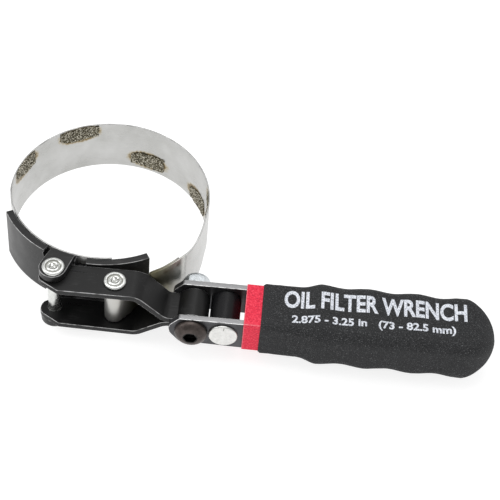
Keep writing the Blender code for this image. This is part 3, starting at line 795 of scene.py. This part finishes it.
steel = make_band_steel()
rim_steel = make_rim_steel()
tail_steel = make_tail_steel()
shoe_black = make_black_oxide("black_oxide_shoe", 0.01, 0.28, 0.42, 0.022, 0.36)
yoke_black = make_black_oxide("black_oxide_yoke", 0.007, 0.32, 0.44, 0.018, 0.27)
# worn edges: rubbed bare metal, painted pale along each edge also as a painted highlight
worn = make_worn_edge_with_highlight("worn_black_edge_and_highlight", 0.42)
bright_worn_and_highlight = make_worn_edge_with_highlight("worn_bright_edge_and_highlight", 0.85)
zinc = make_zinc("bright_zinc")
nut_zinc = make_zinc("pale_zinc", (0.58, 0.61, 0.63), 0.2, 0.36)
spacer_zinc = make_zinc("satin_zinc", (0.76, 0.76, 0.74), 0.26, 0.4)
# a darker zinc for the rivet heads' groove, the hollows between their lobes and the spacer's nick
darker_zinc = make_zinc("darker_groove_zinc", (0.3, 0.3, 0.27), 0.35, 0.55)
arm_dark = make_arm_steel()
screw_brown = make_screw_finish()
roller_black = make_moulded("black_roller", (0.006, 0.006, 0.007), 0.32, 2.0, 0.02, 0.22)
nylon = make_moulded("natural_nylon", (0.72, 0.75, 0.78), 0.45, 2.0, 0.02)
crimson = make_crimson()
crimson_edge_highlight = make_collar_edge_highlight()
core_black = make_moulded("black_moulding", (0.014, 0.014, 0.015), 0.55, 1.5, 0.03)
ink = make_ink()
grit = make_grit()

finish_node("band_loop", steel, rim_steel, 0.12, 50.0)
make_tail(tail_steel, rim_steel)
finish_node("shoe", shoe_black, worn, 0.18)
finish_node("yoke_strap", yoke_black, worn, 0.2)
finish_node("fork_arm_front", arm_dark, bright_worn_and_highlight, 0.2)
finish_node("fork_arm_back", arm_dark, bright_worn_and_highlight, 0.2)
finish_node("pivot_screw", screw_brown, None, 0.14, 40.0)
finish_node("lock_nut", nut_zinc, None, 0.14, 40.0)
finish_node("lock_nut_insert", nylon, None, 0.08, 40.0)
finish_node("spacer_roller", roller_black, None, 0.15, 40.0)
# the collar's bevel carries a painted highlight
finish_node("grip_collar", crimson, crimson_edge_highlight, 0.3, 40.0)
finish_node("handle_core", core_black, None, 0.2, 40.0)

make_rivet("shoe_pivot_pin", "shoe_pivot_rivet", SHOE_PIN, SHOE_PIN_FACES, [zinc, darker_zinc], "loop")
make_rivet("band_pivot_pin", "band_pivot_rivet", BAND_PIN, BAND_PIN_FACES, [zinc, darker_zinc], "lever")
make_spacer([spacer_zinc, darker_zinc])

# start and end in degrees, then the heights of the lower and the upper edge between them
CRUSTS = (
    (149.5, 171.0, (5.0, 4.3, 4.6, 6.4, 8.3), (11.9, 12.1, 12.1, 12.1, 12.0)),
    (104.5, 129.5, (6.2, 5.4, 4.9, 5.2, 6.8), (11.6, 12.0, 12.1, 12.1, 12.0)),
    (62.5, 85.0, (-10.2, -10.6, -10.4, -9.8, -9.4), (-2.6, -2.2, -2.6, -3.4, -4.4)),
    (19.0, 40.0, (-11.0, -11.6, -11.9, -11.8, -11.0), (-2.9, -2.6, -3.4, -4.6, -6.2)),
    (-7.0, 11.5, (6.0, 5.2, 5.0, 5.4, 6.5), (11.6, 12.0, 12.1, 12.0, 11.4)),
)
for number, (a0, a1, lows, highs) in enumerate(CRUSTS, 1):
    make_crust(f"grit_crust_{number}", f"grit_patch_{number}", a0, a1, lows, highs, number * 7.0, grit)

make_grip(make_foam())
print_line("print_title", "OIL FILTER WRENCH", 8.4, (36.0, -0.3), (109.2, 0.4), ink)
print_line("print_sizes", "2.875 - 3.25 in   (73 - 82.5 mm)", 3.6, (39.5, -7.9), (104.6, -6.3), ink)

# ---------------------------------------------------------------- studio

floor_mesh = bpy.data.meshes.new("floor")
floor_corners = [(sx * FLOOR_HALF, sy * FLOOR_HALF, 0) for sx, sy in ((-1, -1), (1, -1), (1, 1), (-1, 1))]
floor_mesh.from_pydata(floor_corners, [], [(0, 1, 2, 3)])
floor = bpy.data.objects.new("floor", floor_mesh)
bpy.context.scene.collection.objects.link(floor)
floor_mesh.materials.append(make_floor())


def area_light(name, place, size, power):
    """A rectangular lamp that faces the middle of the frame."""
    lamp = bpy.data.lights.new(name, "AREA")
    lamp.shape = "RECTANGLE"
    lamp.size, lamp.size_y = size
    lamp.energy = power
    obj = bpy.data.objects.new(name, lamp)
    bpy.context.scene.collection.objects.link(obj)
    obj.location = place
    obj.rotation_euler = (-Vector(place)).to_track_quat("-Z", "Y").to_euler()


area_light("overhead_softbox", (-0.1, 0.15, 0.9), (0.9, 0.7), 4.0)
area_light("left_softbox", (-0.8, -0.1, 0.5), (0.5, 0.6), 1.6)

studio = bpy.data.worlds.new("studio")
bpy.context.scene.world = studio
studio.use_nodes = True
background = studio.node_tree.nodes["Background"]
background.inputs["Color"].default_value = (1.0, 1.0, 1.0, 1.0)
background.inputs["Strength"].default_value = 0.66
bpy.context.scene.view_settings.view_transform = "Standard"

lens = bpy.data.cameras.new("photo_camera")
lens.sensor_width = 36.0
lens.lens = 107.92
camera = bpy.data.objects.new("photo_camera", lens)
bpy.context.scene.collection.objects.link(camera)
RIGHT = Vector((0.994913, 0.073883, 0.068483))
DOWN = Vector((0.100688, -0.751177, -0.652377))
FORWARD = Vector((0.003244, 0.655953, -0.754795))
view = Matrix((RIGHT, -DOWN, -FORWARD)).transposed().to_4x4()
view.translation = Vector((-0.0019884, -0.4129926, 0.4896148))
camera.matrix_world = view
bpy.context.scene.camera = camera
